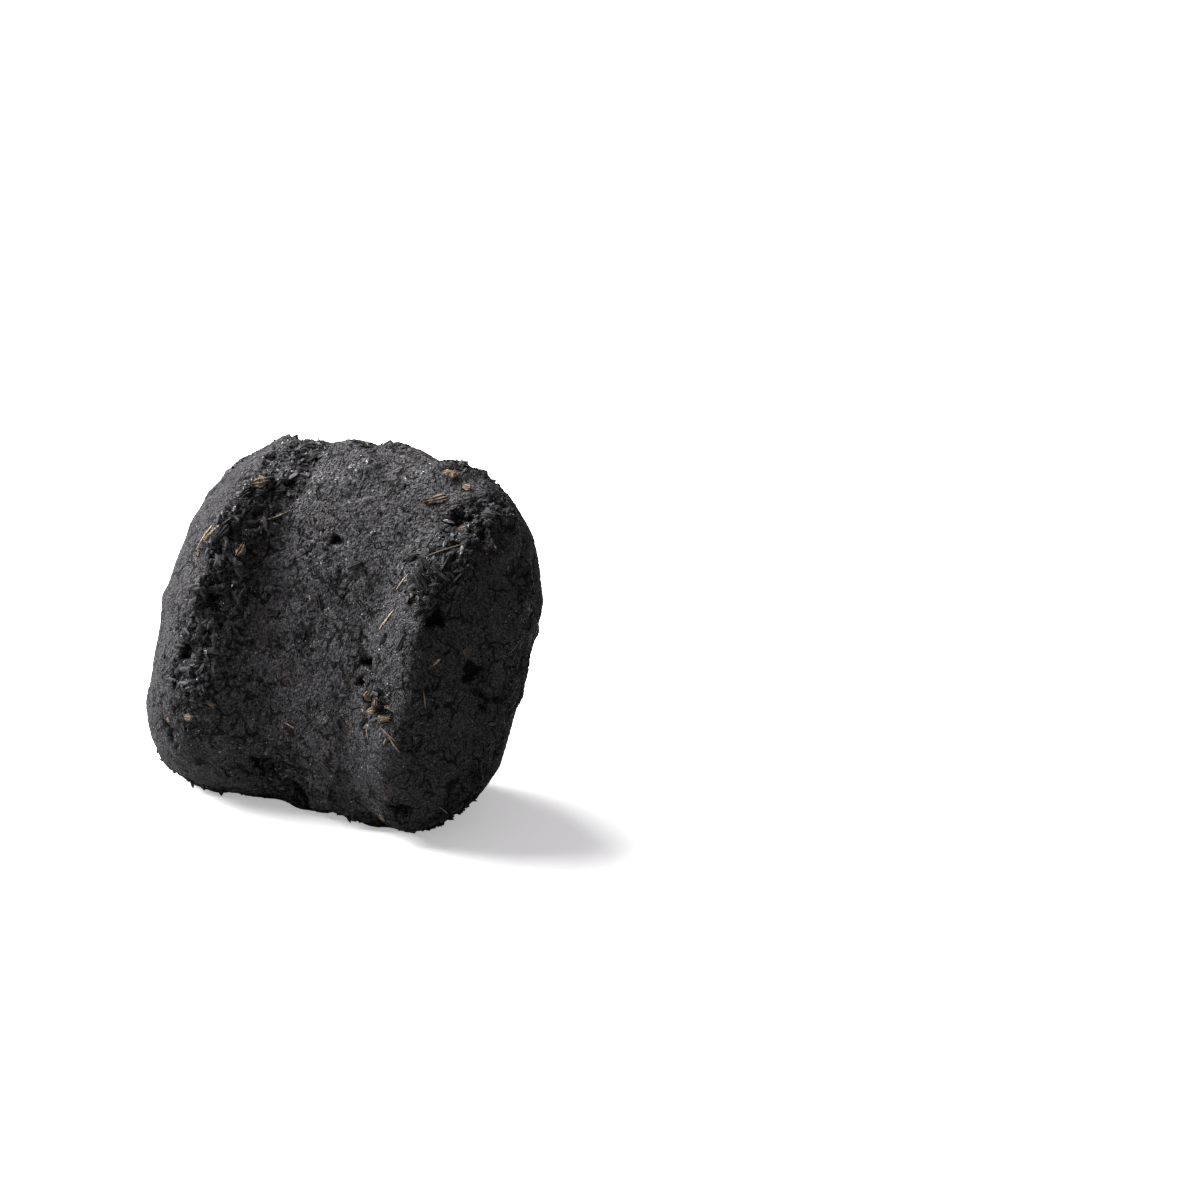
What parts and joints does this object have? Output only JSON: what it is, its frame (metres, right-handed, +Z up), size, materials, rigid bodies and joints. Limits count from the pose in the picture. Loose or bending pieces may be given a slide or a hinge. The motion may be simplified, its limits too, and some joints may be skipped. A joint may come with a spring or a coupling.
{
  "type": "charcoal briquette",
  "caption": "Pressed charcoal briquette, a rounded two-lobed pillow with a channel on each face, standing on its flattened lower seam and leaning back.",
  "frame": {"origin": "middle of the underside of the bounding box, on the surface that the briquette stands on", "axes": "+X across the two lobes, to the right as the front is seen; +Y to the back; +Z up"},
  "size_m": [0.0614, 0.0436, 0.0552],
  "materials": {
    "charcoal": "matte, rough and crumbly, with a faint sheen on pressed faces"
  },
  "bodies": {
    "root": {"briquette": "charcoal"}
  },
  "joints": []
}
